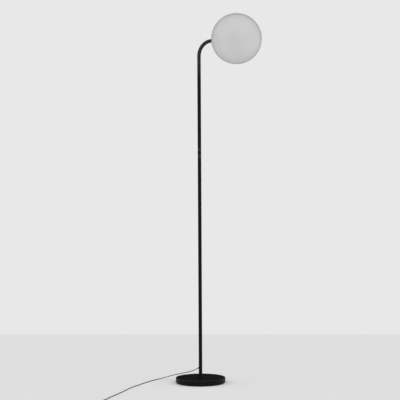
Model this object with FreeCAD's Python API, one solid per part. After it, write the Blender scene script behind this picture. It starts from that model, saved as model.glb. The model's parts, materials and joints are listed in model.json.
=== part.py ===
import FreeCAD, Part
import math
import os
from FreeCAD import Rotation, Vector

# Globe floor lamp with a turning dimmer ring in its pole, in millimetres.
# +Z is up. The origin is on the floor, under the middle of the round foot.
# The arm points along +X and the supply lead leaves the pole on the -X side.

# ---- overall sizes -------------------------------------------------------------
ARM_HEIGHT = 1720.0        # floor to the arm's axis and the globe's centre
GLOBE_DIA = 250.0
GLOBE_CLEAR = 90.0         # pole axis to the globe's nearest point
BASE_DIA = 250.0
BASE_HEIGHT = 28.0         # floor to the top of the foot, pad included

# ---- fits ----------------------------------------------------------------------
FIT = 0.05                 # radial gap between round faces that are fixed together
RUN = 0.05                 # radial gap of a face that turns in another
EASE = 0.1                 # gap round a sheet or board that drops into its seat
SOFT_GAP = 0.3             # gap between a soft or sprung piece and its seat

# ---- foot ----------------------------------------------------------------------
PAD_THICK = 2.0
PAD_INSET = 6.0            # rim of the foot to the edge of the pad
COVER_WALL = 1.5
COVER_TOP_ROUND = 3.0      # outer radius of the cover's top edge
COVER_LOW_CHAMFER = 3.5    # bevel where the cover's rim turns in below
COVER_LIP = 8.0            # rim of the foot to the inner edge of the turned-in lip
COLLAR_DIA = 27.0
COLLAR_HEIGHT = 4.5
COLLAR_CHAMFER = 1.2
BOLT_DIA = 10.0
BOLT_HEAD_FLATS = 17.0
BOLT_HEAD_HEIGHT = 6.4
BOLT_WELL_DIA = 28.0       # well under the weight for the bolt's head
BOLT_WELL_DEPTH = 12.0
WASHER_DIA = 21.0
WASHER_THICK = 2.0
INSERT_LENGTH = 24.0
INSERT_THREAD_DEPTH = 20.0

# ---- pole ----------------------------------------------------------------------
TUBE_OD = 18.0
TUBE_WALL = 1.5
BEND_RADIUS = 72.0         # centreline of the bend at the top

# ---- dimmer --------------------------------------------------------------------
DIMMER_HEIGHT = 1159.0     # floor to the middle of the dimmer ring
DIMMER_SPACE = 20.0        # between the faces of the two ferrules
FERRULE_LENGTH = 15.0      # the part of a ferrule that shows
FERRULE_CHAMFER = 0.4
SPIGOT_LENGTH = 25.0       # the part of a ferrule inside its tube
SPINDLE_DIA = 10.0
SPINDLE_END_DIA = 8.0
SPINDLE_END_LENGTH = 18.0
SPINDLE_BORE = 5.0
GLIDE_THICK = 0.4          # glide washer that carries the ring
RING_DIA = 18.4
RING_WALL = 2.2
RING_TOP_GAP = 0.4
KNURL_TEETH = 60
KNURL_DEPTH = 0.35
KNURL_CHAMFER = 0.6
LAND_THICK = 2.0           # land inside the ring, between magnet and stop pin
LAND_WIDTH = 1.25
BUSH_LENGTH = 4.6          # lower bush
BUSH_GAP = 0.4             # ring's land to the upper bush
SENSOR_BOARD_THICK = 1.0
SENSOR_BOARD_WIDTH = 1.55
SENSOR_CHIP = 0.6          # height of the sensor chip
SENSOR_AIR = 0.4           # sensor chip to magnet
MAGNET_THICK = 3.0
MAGNET_WALL = 1.2
FRICTION_GROOVE = 0.5      # depth of the friction ring's groove in the spindle
FRICTION_WIDTH = 1.2
RING_TRAVEL = 135.0        # degrees each way from the middle
STOP_PIN_DIA = 1.0
STOP_PIN_SUNK = 1.5
STOP_PIN_PROUD = 1.4
STOP_GROOVE_DEPTH = 1.8
STOP_PIN_PLAY = 0.1
SENSOR_LEAD_DIA = 1.2
SENSOR_LEAD_PLACE = 5.95   # from the pole's axis

# ---- dimmer board in the pole --------------------------------------------------
STRIP_LENGTH = 85.0
STRIP_CLEAR = 1.2          # dimmer board's edges to the tube's bore
STRIP_THICK = 1.0
STRIP_OFFSET = 2.0         # pole axis to the board's near face
STRIP_GRIP = 6.0           # length held in the ferrule's slot
PLUG_GAP = 9.0             # ferrule's spigot to the connector on the board

# ---- arm end, cap and globe ----------------------------------------------------
GLASS_WALL = 3.0
GLOBE_HOLE_DIA = 60.0
CAP_RIM_DIA = 66.0
CAP_WALL = 1.5
CAP_BOSS_DIA = 21.0
CAP_BOSS_LENGTH = 5.0
CAP_SEAT_DEPTH = 5.0
CAP_WEB = 5.0
SPIGOT_DIA = 56.0          # cap's spigot inside the globe's hole
SPIGOT_WALL = 4.0
SPIGOT_REACH = 13.0
GASKET_THICK = 0.8
GASKET_SLEEVE = 6.4
ARM_INSERT_LENGTH = 15.0
STEM_DIA = 10.0
STEM_BORE = 6.0
STEM_GRIP = 14.0           # length screwed into the arm and into the heat sink
CAP_WASHER_DIA = 20.0
CAP_WASHER_THICK = 1.5
CAP_NUT_FLATS = 14.0
CAP_NUT_THICK = 6.0
CLIP_COUNT = 3
CLIP_WIDTH = 8.0
CLIP_THICK = 0.6
CLIP_REACH = 8.0           # how far a clip stands out past the cap's spigot
RIVET_DIA = 2.3
RIVET_HEAD_DIA = 4.4
RIVET_HEAD_THICK = 1.0
RIVET_LENGTH = 6.0

# ---- light engine --------------------------------------------------------------
SINK_DIA = 42.0
SINK_LENGTH = 24.0
SINK_CORE_DIA = 18.0
SINK_PLATE = 4.0
SINK_FINS = 14
FIN_THICK = 1.6
LED_BOARD_DIA = 40.0
LED_BOARD_THICK = 1.6
LED_CHIPS = 12
LED_CHIP_SIZE = 3.0
LED_CHIP_HEIGHT = 0.8
LED_CHIP_CIRCLE_DIA = 29.0
SCREW_CIRCLE_DIA = 16.0
SCREW_DIA = 3.0
SCREW_HEAD_DIA = 5.4
SCREW_HEAD_HEIGHT = 1.8
SCREW_LENGTH = 5.0
DOME_WALL = 1.5
DOME_HEIGHT = 14.0         # light-emitting board to the top of the diffuser
DOME_CROWN = 7.0           # height and width of the bevel round the diffuser's top

# ---- leads ---------------------------------------------------------------------
POLE_LEAD_DIA = 3.2
POLE_LEAD_TURN = 5.0       # bend just inside the strain relief
CORD_DIA = 3.6
CORD_SIDES = 6             # facets of the cord's plain tube
CORD_HEIGHT = 75.0         # floor to the cord's exit
CORD_DROOP = 28.0          # degrees that the strain relief points down
RELIEF_NECK_DIA = 6.2
RELIEF_FLANGE_DIA = 8.6
RELIEF_FLANGE_THICK = 1.4
RELIEF_TAIL = 13.0
RELIEF_TAIL_DIA = 6.4
RELIEF_TIP_DIA = 4.6
RELIEF_RINGS = 3
RELIEF_RING_WIDTH = 0.9
RELIEF_RING_DEPTH = 0.45
CORD_FLOOR_GAP = 0.1       # the lead's underside above the floor
CORD_LEAD_OUT = 13.5       # first straight run, in line with the strain relief

# The lead's route, from the strain relief to the coil, as chosen by hand.
# The first points hang from the pole over the foot's rim, the rest lie on the floor.
AIR_ROUTE = [
    (-54.0, 0.6, 54.6), (-83.0, -0.4, 46.6), (-117.0, -0.6, 38.0),
    (-150.0, 0.8, 30.0), (-182.0, 2.4, 20.8), (-211.0, 1.6, 11.4), (-234.0, -8.0, 4.6),
]
FLOOR_ROUTE = [
    (-246.0, -33.0), (-246.5, -72.0), (-243.0, -120.0), (-238.5, -170.0), (-230.0, -220.0),
    (-225.5, -270.0), (-215.5, -321.0), (-203.0, -371.0), (-188.5, -423.0), (-176.0, -476.0),
    (-165.0, -528.0), (-154.5, -581.0), (-141.0, -633.0), (-131.0, -682.0),
]

# ---- coil of the lead that is put away -------------------------------------------
COIL_X = -88.0
COIL_Y = -775.0
COIL_OUTER = 26.5          # radius of the outermost turn
COIL_TURNS = 5.25
COIL_GAP = 0.5             # between turns and between layers
COIL_CLIMB = 0.5           # turns that the change of layer takes
COIL_START = 191.5         # degrees, where the lead joins the coil
COIL_EXIT_RUN = 14.0       # straight run from the coil to the adapter
TIE_THICK = 0.8
TIE_WIDTH = 7.0
TIE_ANGLE = 60.0
TIE_ROUND = 2.0

# ---- plug-in adapter -----------------------------------------------------------
ADAPTER_LENGTH = 50.0
ADAPTER_WIDTH = 34.0
ADAPTER_HEIGHT = 26.0
ADAPTER_WALL = 2.0
ADAPTER_ROUND = 4.0
ADAPTER_CAP_THICK = 2.5
ADAPTER_LIP = 3.0
ADAPTER_TAIL = 14.0
ADAPTER_TAIL_DIA = 7.0
PIN_DIA = 4.0
PIN_SPACING = 19.0
PIN_PROUD = 19.0
PIN_SUNK = 7.0
PIN_CHAMFER = 0.8
PCB_HEIGHT = 12.0
PCB_THICK = 1.6
PCB_LENGTH = 42.0

# ---- sizes worked out from those above -------------------------------------------
ARM_REACH = GLOBE_DIA / 2 + GLOBE_CLEAR    # pole axis to the globe's centre
BASE_R = BASE_DIA / 2
TUBE_R = TUBE_OD / 2
BORE_R = TUBE_R - TUBE_WALL
STRIP_WIDTH = 2 * (math.sqrt(BORE_R ** 2 - (STRIP_OFFSET + STRIP_THICK) ** 2) - STRIP_CLEAR)
CORD_R = CORD_DIA / 2
COIL_PITCH = CORD_DIA + COIL_GAP           # turn to turn, and layer to layer
SPINDLE_R = SPINDLE_DIA / 2
RING_BORE_R = RING_DIA / 2 - RING_WALL
DIMMER_LOW = DIMMER_HEIGHT - DIMMER_SPACE / 2
DIMMER_HIGH = DIMMER_HEIGHT + DIMMER_SPACE / 2
LOWER_TUBE_TOP = DIMMER_LOW - FERRULE_LENGTH
UPPER_TUBE_FOOT = DIMMER_HIGH + FERRULE_LENGTH
GLOBE_R = GLOBE_DIA / 2
GLASS_IN_R = GLOBE_R - GLASS_WALL


def glass_x(sphere_r, r):
    """The X of a sphere about the globe's centre, on its pole side, at distance r from the arm's axis."""
    return ARM_REACH - math.sqrt(sphere_r ** 2 - r ** 2)


CAP_RIM_R = CAP_RIM_DIA / 2
CAP_RIM_X = glass_x(GLOBE_R, CAP_RIM_R) - GASKET_THICK
CAP_BOSS_X = glass_x(GLOBE_R, CAP_BOSS_DIA / 2) - GASKET_THICK - CAP_WALL
TUBE_END_X = CAP_BOSS_X - CAP_BOSS_LENGTH + CAP_SEAT_DEPTH
CAP_FACE_X = TUBE_END_X + CAP_WEB
CLIP_SEAT_X = CAP_FACE_X + SPIGOT_REACH
SINK_END_X = ARM_REACH - (DOME_HEIGHT - SINK_LENGTH) / 2
SINK_X = SINK_END_X - SINK_LENGTH


# ---- shared shape helpers --------------------------------------------------------
def turned(outline):
    """A solid turned about Z from a closed outline of (radius, height) points."""
    points = [Vector(r, 0, z) for r, z in outline]
    face = Part.Face(Part.makePolygon(points + points[:1]))
    return face.revolve(Vector(0, 0, 0), Vector(0, 0, 1), 360)


def ring(outer_r, inner_r, low, high):
    """A plain ring or sleeve about Z."""
    return turned([(inner_r, low), (outer_r, low), (outer_r, high), (inner_r, high)])


def rod(r, low, high, x=0.0, y=0.0):
    """A round rod parallel to Z."""
    return Part.makeCylinder(r, high - low, Vector(x, y, low))


def block(x0, x1, y0, y1, z0, z1):
    """A box between two corners."""
    return Part.makeBox(x1 - x0, y1 - y0, z1 - z0, Vector(x0, y0, z0))


def hexagon(flats, low, high):
    """A hexagonal bar about Z, by its width across flats."""
    r = flats / math.sqrt(3)
    corners = [Vector(r * math.cos(k * math.pi / 3), r * math.sin(k * math.pi / 3), low) for k in range(7)]
    return Part.Face(Part.makePolygon(corners)).extrude(Vector(0, 0, high - low))


def onto_arm(shape):
    """Turns a shape made about Z so that its height becomes its place along the arm's axis."""
    laid = shape.copy()
    laid.rotate(Vector(0, 0, 0), Vector(0, 1, 0), 90)
    laid.translate(Vector(0, 0, ARM_HEIGHT))
    return laid


def round_about_z(shape, count, start=0.0):
    """Copies of a shape, evenly spaced about Z."""
    copies = []
    for k in range(count):
        copy = shape.copy()
        copy.rotate(Vector(0, 0, 0), Vector(0, 0, 1), start + 360.0 * k / count)
        copies.append(copy)
    return copies


def group(solids):
    """Separate solids that share one node."""
    return Part.makeCompound(solids)


# ---- foot ------------------------------------------------------------------------
def base_pad():
    return rod(BASE_R - PAD_INSET, 0, PAD_THICK)


def base_cover():
    """Spun sheet: flat top with a round edge, straight side, bevel and lip turned in under the weight."""
    hole_r = BOLT_DIA / 2 + SOFT_GAP
    top, low = BASE_HEIGHT, PAD_THICK
    bevel, wall, round_r = COVER_LOW_CHAMFER, COVER_WALL, COVER_TOP_ROUND
    slant = wall * math.tan(math.radians(22.5))
    outline = [
        (BASE_R, top - round_r), (BASE_R, low + bevel), (BASE_R - bevel, low), (BASE_R - COVER_LIP, low),
        (BASE_R - COVER_LIP, low + wall), (BASE_R - bevel - slant, low + wall), (BASE_R - wall, low + bevel + slant),
        (BASE_R - wall, top - round_r), (BASE_R - round_r, top - wall), (hole_r, top - wall), (hole_r, top),
        (BASE_R - round_r, top),
    ]
    points = [Vector(r, 0, z) for r, z in outline]
    middle = round_r * (1 - math.sin(math.radians(45)))
    edge = Part.Arc(points[-1], Vector(BASE_R - middle, 0, top - middle), points[0])
    wire = Part.Wire(Part.makePolygon(points).Edges + [edge.toShape()])
    return Part.Face(wire).revolve(Vector(0, 0, 0), Vector(0, 0, 1), 360)


def base_weight():
    """Cast disc that fills the cover, with a well below for the foot bolt."""
    rim = BASE_R - COVER_WALL - EASE
    low, top = PAD_THICK, BASE_HEIGHT - COVER_WALL
    step_r, step_z = BASE_R - COVER_LIP - EASE, PAD_THICK + COVER_WALL + EASE
    bevel = COVER_LOW_CHAMFER
    well_r, well_top = BOLT_WELL_DIA / 2, PAD_THICK + BOLT_WELL_DEPTH
    hole_r = BOLT_DIA / 2 + SOFT_GAP
    return turned([
        (well_r, low), (step_r, low), (step_r, step_z), (rim - bevel, step_z), (rim, step_z + bevel),
        (rim, top - COVER_TOP_ROUND), (rim - COVER_TOP_ROUND, top), (hole_r, top), (hole_r, well_top),
        (well_r, well_top),
    ])


def foot_washer():
    top = PAD_THICK + BOLT_WELL_DEPTH
    return ring(WASHER_DIA / 2, BOLT_DIA / 2 + FIT, top - WASHER_THICK, top)


def foot_bolt():
    """Hexagon bolt, its point just short of the end of the insert's thread."""
    seat = PAD_THICK + BOLT_WELL_DEPTH - WASHER_THICK
    shank = rod(BOLT_DIA / 2, seat, BASE_HEIGHT + INSERT_THREAD_DEPTH - 1.0)
    return shank.fuse(hexagon(BOLT_HEAD_FLATS, seat - BOLT_HEAD_HEIGHT, seat)).removeSplitter()


def foot_insert():
    """Plug fixed in the pole's lower end, with a blind thread for the foot bolt."""
    body = rod(BORE_R - FIT, BASE_HEIGHT, BASE_HEIGHT + INSERT_LENGTH)
    return body.cut(rod(BOLT_DIA / 2 + FIT, BASE_HEIGHT, BASE_HEIGHT + INSERT_THREAD_DEPTH))


def foot_collar():
    low, top, r = BASE_HEIGHT, BASE_HEIGHT + COLLAR_HEIGHT, COLLAR_DIA / 2
    return turned([
        (TUBE_R + FIT, low), (r, low), (r, top - COLLAR_CHAMFER), (r - COLLAR_CHAMFER, top), (TUBE_R + FIT, top),
    ])


# ---- pole ------------------------------------------------------------------------
def lower_tube():
    """Straight lower length of the pole, with a hole at the back for the strain relief."""
    tube = ring(TUBE_R, BORE_R, BASE_HEIGHT, LOWER_TUBE_TOP)
    hole_r = RELIEF_NECK_DIA / 2 + FIT
    hole = Part.makeCylinder(hole_r, 2 * TUBE_R, Vector(0, 0, CORD_HEIGHT), Vector(-1, 0, 0))
    return tube.cut(hole)


def arm_path(start_z, end_x):
    """Up the pole, round the bend and along the arm."""
    foot = Vector(0, 0, ARM_HEIGHT - BEND_RADIUS)
    middle = math.radians(45)
    through = foot + Vector(BEND_RADIUS * (1 - math.cos(middle)), 0, BEND_RADIUS * math.sin(middle))
    far = Vector(BEND_RADIUS, 0, ARM_HEIGHT)
    return [
        Part.makeLine(Vector(0, 0, start_z), foot),
        Part.Arc(foot, through, far).toShape(),
        Part.makeLine(far, Vector(end_x, 0, ARM_HEIGHT)),
    ]


def swept(edges, r, start, heading):
    """A round bar of radius r along edges that join smoothly."""
    section = Part.Wire(Part.makeCircle(r, start, heading))
    return Part.Wire(edges).makePipeShell([section], True, False)


def upper_tube():
    """Upper length of the pole, bent over to the globe in one piece."""
    edges = arm_path(UPPER_TUBE_FOOT, TUBE_END_X)
    start, up = Vector(0, 0, UPPER_TUBE_FOOT), Vector(0, 0, 1)
    return swept(edges, TUBE_R, start, up).cut(swept(edges, BORE_R, start, up))


def pole_lead():
    """The lead inside the lamp: in through the strain relief, up the pole and out to the light engine."""
    enter = Vector(-POLE_LEAD_TURN, 0, CORD_HEIGHT)
    middle = math.radians(45)
    through = enter + Vector(POLE_LEAD_TURN * math.sin(middle), 0, POLE_LEAD_TURN * (1 - math.cos(middle)))
    upright = Vector(0, 0, CORD_HEIGHT + POLE_LEAD_TURN)
    turn = Part.Arc(enter, through, upright).toShape()
    edges = [turn] + arm_path(upright.z, SINK_END_X)
    return swept(edges, POLE_LEAD_DIA / 2, enter, Vector(1, 0, 0))


# ---- dimmer ----------------------------------------------------------------------
def ferrule(face, away):
    """An end fitting with its flat face at one height and its spigot pointing away (+1 up, -1 down)."""
    bore = SPINDLE_END_DIA / 2 + FIT
    c = FERRULE_CHAMFER
    shoulder = face + away * FERRULE_LENGTH
    return turned([
        (bore, face), (TUBE_R - c, face), (TUBE_R, face + away * c), (TUBE_R, shoulder - away * c),
        (TUBE_R - c, shoulder), (BORE_R - FIT, shoulder), (BORE_R - FIT, shoulder + away * SPIGOT_LENGTH),
        (bore, shoulder + away * SPIGOT_LENGTH),
    ])


def upper_ferrule():
    return ferrule(DIMMER_HIGH, 1)


def lower_ferrule():
    """Like the upper one, with a way through for the sensor lead and a slot that holds the dimmer board."""
    bottom = LOWER_TUBE_TOP - SPIGOT_LENGTH
    way = rod(SENSOR_LEAD_DIA / 2 + EASE, bottom, DIMMER_LOW, y=SENSOR_LEAD_PLACE)
    slot = block(
        -STRIP_WIDTH / 2 - EASE, STRIP_WIDTH / 2 + EASE, STRIP_OFFSET - FIT, STRIP_OFFSET + STRIP_THICK + FIT,
        bottom, bottom + STRIP_GRIP + EASE,
    )
    return ferrule(DIMMER_LOW, -1).cut(way).cut(slot)


def land_low():
    """Height of the underside of the ring's land, above the sensor board and the magnet."""
    board_top = DIMMER_LOW + BUSH_LENGTH + SENSOR_BOARD_THICK
    return board_top + SENSOR_CHIP + SENSOR_AIR + MAGNET_THICK


def dimmer_spindle():
    """Hollow spindle: shoulders seat on both ferrules, a groove in the middle holds the friction ring."""
    r, end_r, bore = SPINDLE_R, SPINDLE_END_DIA / 2, SPINDLE_BORE / 2
    middle = land_low() + LAND_THICK / 2
    low_edge, high_edge = middle - FRICTION_WIDTH / 2 - FIT, middle + FRICTION_WIDTH / 2 + FIT
    deep = r - FRICTION_GROOVE
    return turned([
        (bore, DIMMER_LOW - SPINDLE_END_LENGTH), (end_r, DIMMER_LOW - SPINDLE_END_LENGTH), (end_r, DIMMER_LOW),
        (r, DIMMER_LOW), (r, low_edge), (deep, low_edge), (deep, high_edge), (r, high_edge), (r, DIMMER_HIGH),
        (end_r, DIMMER_HIGH), (end_r, DIMMER_HIGH + SPINDLE_END_LENGTH), (bore, DIMMER_HIGH + SPINDLE_END_LENGTH),
    ])


def glide_washer():
    return ring(TUBE_R - 2 * FERRULE_CHAMFER, RING_BORE_R + FIT, DIMMER_LOW, DIMMER_LOW + GLIDE_THICK)


def lower_bush():
    """Plain bush on the spindle; the notch at +Y lets the sensor lead pass."""
    bush = ring(RING_BORE_R - RUN, SPINDLE_R + FIT, DIMMER_LOW, DIMMER_LOW + BUSH_LENGTH)
    half = SENSOR_LEAD_DIA / 2 + EASE
    notch = block(-half, half, 0, SENSOR_LEAD_PLACE + half, DIMMER_LOW, DIMMER_LOW + BUSH_LENGTH)
    return bush.cut(notch)


def sensor_board():
    """Annular board on the lower bush, with the magnetic sensor's chip on top."""
    low = DIMMER_LOW + BUSH_LENGTH
    top = low + SENSOR_BOARD_THICK
    outer = RING_BORE_R - 2 * EASE - RUN
    board = ring(outer, outer - SENSOR_BOARD_WIDTH, low, top)
    middle = outer - SENSOR_BOARD_WIDTH / 2
    chip = block(-1.2, 1.2, -middle - 0.55, -middle + 0.55, top, top + SENSOR_CHIP)
    return board.fuse(chip)


def ring_magnet():
    outer = RING_BORE_R - FIT / 2
    return ring(outer, outer - MAGNET_WALL, land_low() - MAGNET_THICK, land_low())


def friction_ring():
    """Rubber ring in the spindle's groove, rubbing in the bore of the ring's land."""
    middle = land_low() + LAND_THICK / 2
    land_r = RING_BORE_R - LAND_WIDTH
    low, high = middle - FRICTION_WIDTH / 2, middle + FRICTION_WIDTH / 2
    return ring(land_r - RUN, SPINDLE_R - FRICTION_GROOVE + FIT, low, high)


def stop_pin_place():
    """Distance of the stop pin from the ring's axis: the middle of the land."""
    return RING_BORE_R - LAND_WIDTH / 2


def dimmer_ring():
    """Straight-knurled ring: V grooves all round, bevelled ends, and an inner land bored for the stop pin."""
    low, high = DIMMER_LOW + GLIDE_THICK, DIMMER_HIGH - RING_TOP_GAP
    crest, root = RING_DIA / 2, RING_DIA / 2 - KNURL_DEPTH
    step = math.pi / KNURL_TEETH
    points = []
    for k in range(2 * KNURL_TEETH):
        r = crest if k % 2 == 0 else root
        points.append(Vector(r * math.cos(k * step), r * math.sin(k * step), low))
    teeth = Part.Face(Part.makePolygon(points + points[:1])).extrude(Vector(0, 0, high - low))
    c = KNURL_CHAMFER
    bevels = turned([
        (0, low), (crest - c, low), (crest, low + c), (crest, high - c), (crest - c, high), (0, high),
    ])
    bore = turned([
        (0, low), (RING_BORE_R, low), (RING_BORE_R, land_low()), (RING_BORE_R - LAND_WIDTH, land_low()),
        (RING_BORE_R - LAND_WIDTH, land_low() + LAND_THICK), (RING_BORE_R, land_low() + LAND_THICK),
        (RING_BORE_R, high), (0, high),
    ])
    top = land_low() + LAND_THICK
    pin_hole = rod(STOP_PIN_DIA / 2 + FIT / 2, top - STOP_PIN_SUNK, top, y=-stop_pin_place())
    return teeth.common(bevels).cut(bore).cut(pin_hole)


def stop_pin():
    top = land_low() + LAND_THICK
    return rod(STOP_PIN_DIA / 2, top - STOP_PIN_SUNK, top + STOP_PIN_PROUD, y=-stop_pin_place())


def upper_bush():
    """Plain bush whose lower end is cut back all round but for one lug, which stops the pin at each end."""
    low = land_low() + LAND_THICK + BUSH_GAP
    bush = ring(RING_BORE_R - RUN, SPINDLE_R + FIT, low, DIMMER_HIGH)
    inner = stop_pin_place() - STOP_PIN_DIA / 2 - EASE
    pin_half = math.degrees(math.asin((STOP_PIN_DIA / 2 + STOP_PIN_PLAY) / stop_pin_place()))
    sweep = 2 * (RING_TRAVEL + pin_half)
    outline = [Vector(inner, 0, low), Vector(RING_BORE_R, 0, low), Vector(RING_BORE_R, 0, low + STOP_GROOVE_DEPTH)]
    outline.append(Vector(inner, 0, low + STOP_GROOVE_DEPTH))
    groove = Part.Face(Part.makePolygon(outline + outline[:1])).revolve(Vector(0, 0, 0), Vector(0, 0, 1), sweep)
    groove.rotate(Vector(0, 0, 0), Vector(0, 0, 1), -90 - sweep / 2)
    return bush.cut(groove)


def sensor_lead():
    """Short lead from the sensor board, through bush and ferrule, to the connector on the dimmer board."""
    low = LOWER_TUBE_TOP - SPIGOT_LENGTH - PLUG_GAP
    return rod(SENSOR_LEAD_DIA / 2, low, DIMMER_LOW + BUSH_LENGTH, y=SENSOR_LEAD_PLACE)


def dimmer_board():
    """Strip board held in the ferrule's slot, with its connector, choke, capacitor and chips."""
    top = LOWER_TUBE_TOP - SPIGOT_LENGTH + STRIP_GRIP
    back = STRIP_OFFSET + STRIP_THICK
    shape = block(-STRIP_WIDTH / 2, STRIP_WIDTH / 2, STRIP_OFFSET, back, top - STRIP_LENGTH, top)
    plug_top = LOWER_TUBE_TOP - SPIGOT_LENGTH - PLUG_GAP
    parts = [
        block(-2.2, 2.2, back, SENSOR_LEAD_PLACE + 0.6, plug_top - 8, plug_top),
        block(-3.0, 3.0, back, back + 1.3, plug_top - 22, plug_top - 14),
        block(-3.2, 3.2, back, back + 2.5, plug_top - 40, plug_top - 31),
        block(-1.4, 1.4, back, back + 1.0, plug_top - 52, plug_top - 46),
    ]
    capacitor = Part.makeCylinder(2.5, 2.6, Vector(0, back, plug_top - 61), Vector(0, 1, 0))
    return shape.fuse(parts + [capacitor]).removeSplitter()


# ---- arm end, cap and globe --------------------------------------------------------
def arm_insert():
    """Threaded plug in the end of the arm's tube."""
    return onto_arm(ring(BORE_R - FIT, STEM_DIA / 2 + FIT, TUBE_END_X - ARM_INSERT_LENGTH, TUBE_END_X))


def cap_inner_x(r):
    """The X of the cap's dished inner face, which the gasket lies on, at distance r from the arm's axis."""
    return glass_x(GLOBE_R, r) - GASKET_THICK


def clip_angles():
    return [60.0 + 360.0 * k / CLIP_COUNT for k in range(CLIP_COUNT)]


def rivet_holes(r, low, high):
    """Rods about Z at the places of the clips' rivets, through the middle of the spigot's wall."""
    place = (SPIGOT_DIA - SPIGOT_WALL) / 2
    holes = []
    for angle in clip_angles():
        a = math.radians(angle)
        holes.append(rod(r, low, high, place * math.cos(a), place * math.sin(a)))
    return holes


def globe_cap():
    """Turned cap: boss on the tube, low dish over the globe's hole, and a spigot that goes inside."""
    boss_r, spigot_r = CAP_BOSS_DIA / 2, SPIGOT_DIA / 2
    boss_start = CAP_BOSS_X - CAP_BOSS_LENGTH
    shape = turned([
        (TUBE_R + FIT, boss_start), (boss_r - 0.5, boss_start), (boss_r, boss_start + 0.5), (boss_r, CAP_BOSS_X),
        (CAP_RIM_R, CAP_RIM_X - CAP_WALL), (CAP_RIM_R, CAP_RIM_X), (spigot_r, cap_inner_x(spigot_r)),
        (spigot_r, CLIP_SEAT_X), (spigot_r - SPIGOT_WALL, CLIP_SEAT_X), (spigot_r - SPIGOT_WALL, CAP_FACE_X),
        (STEM_DIA / 2 + FIT, CAP_FACE_X), (STEM_DIA / 2 + FIT, TUBE_END_X), (TUBE_R + FIT, TUBE_END_X),
    ])
    holes = rivet_holes(RIVET_DIA / 2 + FIT, CLIP_SEAT_X - RIVET_LENGTH, CLIP_SEAT_X)
    return onto_arm(shape.cut(holes))


def globe_gasket():
    """Silicone seal: a flange between dish and glass, and a sleeve between spigot and hole."""
    spigot_r, hole_r = SPIGOT_DIA / 2 + EASE, GLOBE_HOLE_DIA / 2
    glass = glass_x(GLOBE_R, hole_r) - FIT
    sleeve_end = glass + GASKET_SLEEVE
    return onto_arm(turned([
        (spigot_r, cap_inner_x(spigot_r) + FIT), (CAP_RIM_R, CAP_RIM_X), (CAP_RIM_R, glass_x(GLOBE_R, CAP_RIM_R) - FIT),
        (hole_r, glass), (hole_r - EASE, glass), (hole_r - EASE, sleeve_end), (spigot_r, sleeve_end),
    ]))


def globe():
    """Blown glass ball, open on the side that faces the arm."""
    centre = Vector(ARM_REACH, 0, ARM_HEIGHT)
    ball = Part.makeSphere(GLOBE_R, centre).cut(Part.makeSphere(GLASS_IN_R, centre))
    hole = Part.makeCylinder(GLOBE_HOLE_DIA / 2, GLOBE_R, centre, Vector(-1, 0, 0))
    return ball.cut(hole)


def ribbon(line, thick):
    """The outline of a strip of even thickness along a line of (radius, height) points."""
    left, right = [], []
    for k, (r, z) in enumerate(line):
        r0, z0 = line[max(k - 1, 0)]
        r1, z1 = line[min(k + 1, len(line) - 1)]
        ways = [Vector(r - r0, 0, z - z0), Vector(r1 - r, 0, z1 - z)]
        ways = [w.normalize() for w in ways if w.Length > 0]
        way = sum(ways[1:], ways[0])
        way.normalize()
        across = Vector(-way.z, 0, way.x) * (thick / 2 / way.dot(ways[0]))
        left.append(Vector(r, 0, z) + across)
        right.append(Vector(r, 0, z) - across)
    return left + right[::-1]


def globe_clips():
    """Leaf springs riveted to the spigot, which bend back to press on the inside of the glass."""
    half = CLIP_THICK / 2
    spigot_r = SPIGOT_DIA / 2
    seat = CLIP_SEAT_X + half
    touch_r = spigot_r + CLIP_REACH
    touch = glass_x(GLASS_IN_R - half - SOFT_GAP, touch_r)
    line = [
        (spigot_r - SPIGOT_WALL - 4.0, seat), (spigot_r + 0.5, seat), (spigot_r + 2.1, seat - 0.9),
        (touch_r, touch), (touch_r + 1.8, touch + 2.2),
    ]
    outline = ribbon(line, CLIP_THICK)
    leaf = Part.Face(Part.makePolygon(outline + outline[:1])).extrude(Vector(0, CLIP_WIDTH, 0))
    leaf.translate(Vector(0, -CLIP_WIDTH / 2, 0))
    holes = rivet_holes(RIVET_DIA / 2 + FIT, CLIP_SEAT_X - 1, CLIP_SEAT_X + CLIP_THICK + 1)
    leaves = [leaf_copy.cut(holes) for leaf_copy in round_about_z(leaf, CLIP_COUNT, clip_angles()[0])]
    return onto_arm(group(leaves))


def clip_rivets():
    top = CLIP_SEAT_X + CLIP_THICK
    shanks = rivet_holes(RIVET_DIA / 2, CLIP_SEAT_X - RIVET_LENGTH, top)
    heads = rivet_holes(RIVET_HEAD_DIA / 2, top, top + RIVET_HEAD_THICK)
    return onto_arm(group([shank.fuse(head).removeSplitter() for shank, head in zip(shanks, heads)]))


def cap_washer():
    return onto_arm(ring(CAP_WASHER_DIA / 2, STEM_DIA / 2 + FIT, CAP_FACE_X, CAP_FACE_X + CAP_WASHER_THICK))


def cap_nut():
    low = CAP_FACE_X + CAP_WASHER_THICK
    nut = hexagon(CAP_NUT_FLATS, low, low + CAP_NUT_THICK)
    return onto_arm(nut.cut(rod(STEM_DIA / 2 + FIT, low, low + CAP_NUT_THICK)))


# ---- light engine ----------------------------------------------------------------
def led_stem():
    """Threaded pipe from the arm's insert, through cap and nut, into the heat sink."""
    return onto_arm(ring(STEM_DIA / 2, STEM_BORE / 2, TUBE_END_X - STEM_GRIP, SINK_X + STEM_GRIP))


def screw_rods(r, low, high):
    """Rods about Z at the places of the board's two screws."""
    place = SCREW_CIRCLE_DIA / 2
    return [rod(r, low, high, place, 0), rod(r, low, high, -place, 0)]


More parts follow.
